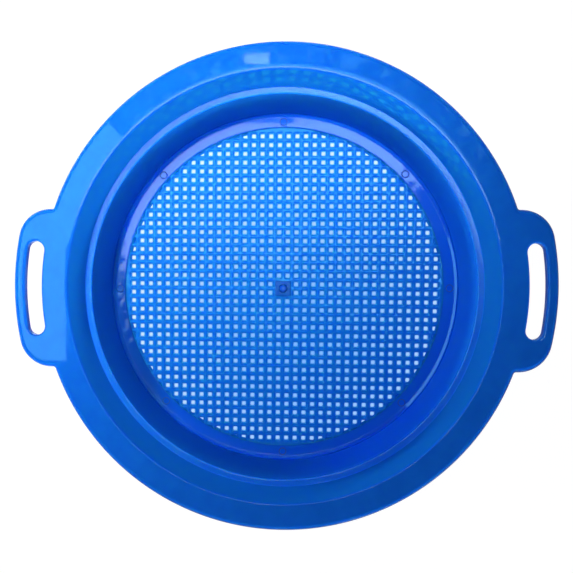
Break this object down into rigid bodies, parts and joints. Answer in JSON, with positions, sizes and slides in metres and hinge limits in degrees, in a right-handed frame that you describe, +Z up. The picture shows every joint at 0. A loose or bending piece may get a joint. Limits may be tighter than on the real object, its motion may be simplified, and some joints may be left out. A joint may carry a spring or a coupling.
{
  "type": "sieve pan",
  "caption": "Round stepped sieve pan moulded in glossy blue plastic, with a square-hole floor, a flat rim with a turned-down lip and ear handles with hand slots.",
  "frame": {"origin": "middle of the underside, at the height of the surface the pan stands on", "axes": "+Z up out of the bowl's mouth, X through both ears, Y across them"},
  "size_m": [0.2918, 0.2622, 0.0546],
  "materials": {
    "blue_plastic": "smooth gloss, slightly translucent"
  },
  "bodies": {
    "root": {"rim_flange": "blue_plastic", "rim_lip_front": "blue_plastic", "rim_lip_back": "blue_plastic", "left_ear": "blue_plastic", "right_ear": "blue_plastic", "left_ear_lip": "blue_plastic", "right_ear_lip": "blue_plastic", "left_slot_collar": "blue_plastic", "right_slot_collar": "blue_plastic", "upper_wall": "blue_plastic", "stacking_ledge": "blue_plastic", "lower_wall": "blue_plastic", "floor_ring": "blue_plastic", "sieve_bars_lengthwise": "blue_plastic", "sieve_bars_crosswise": "blue_plastic", "gate_pad": "blue_plastic", "gate_nub": "blue_plastic"}
  },
  "joints": []
}
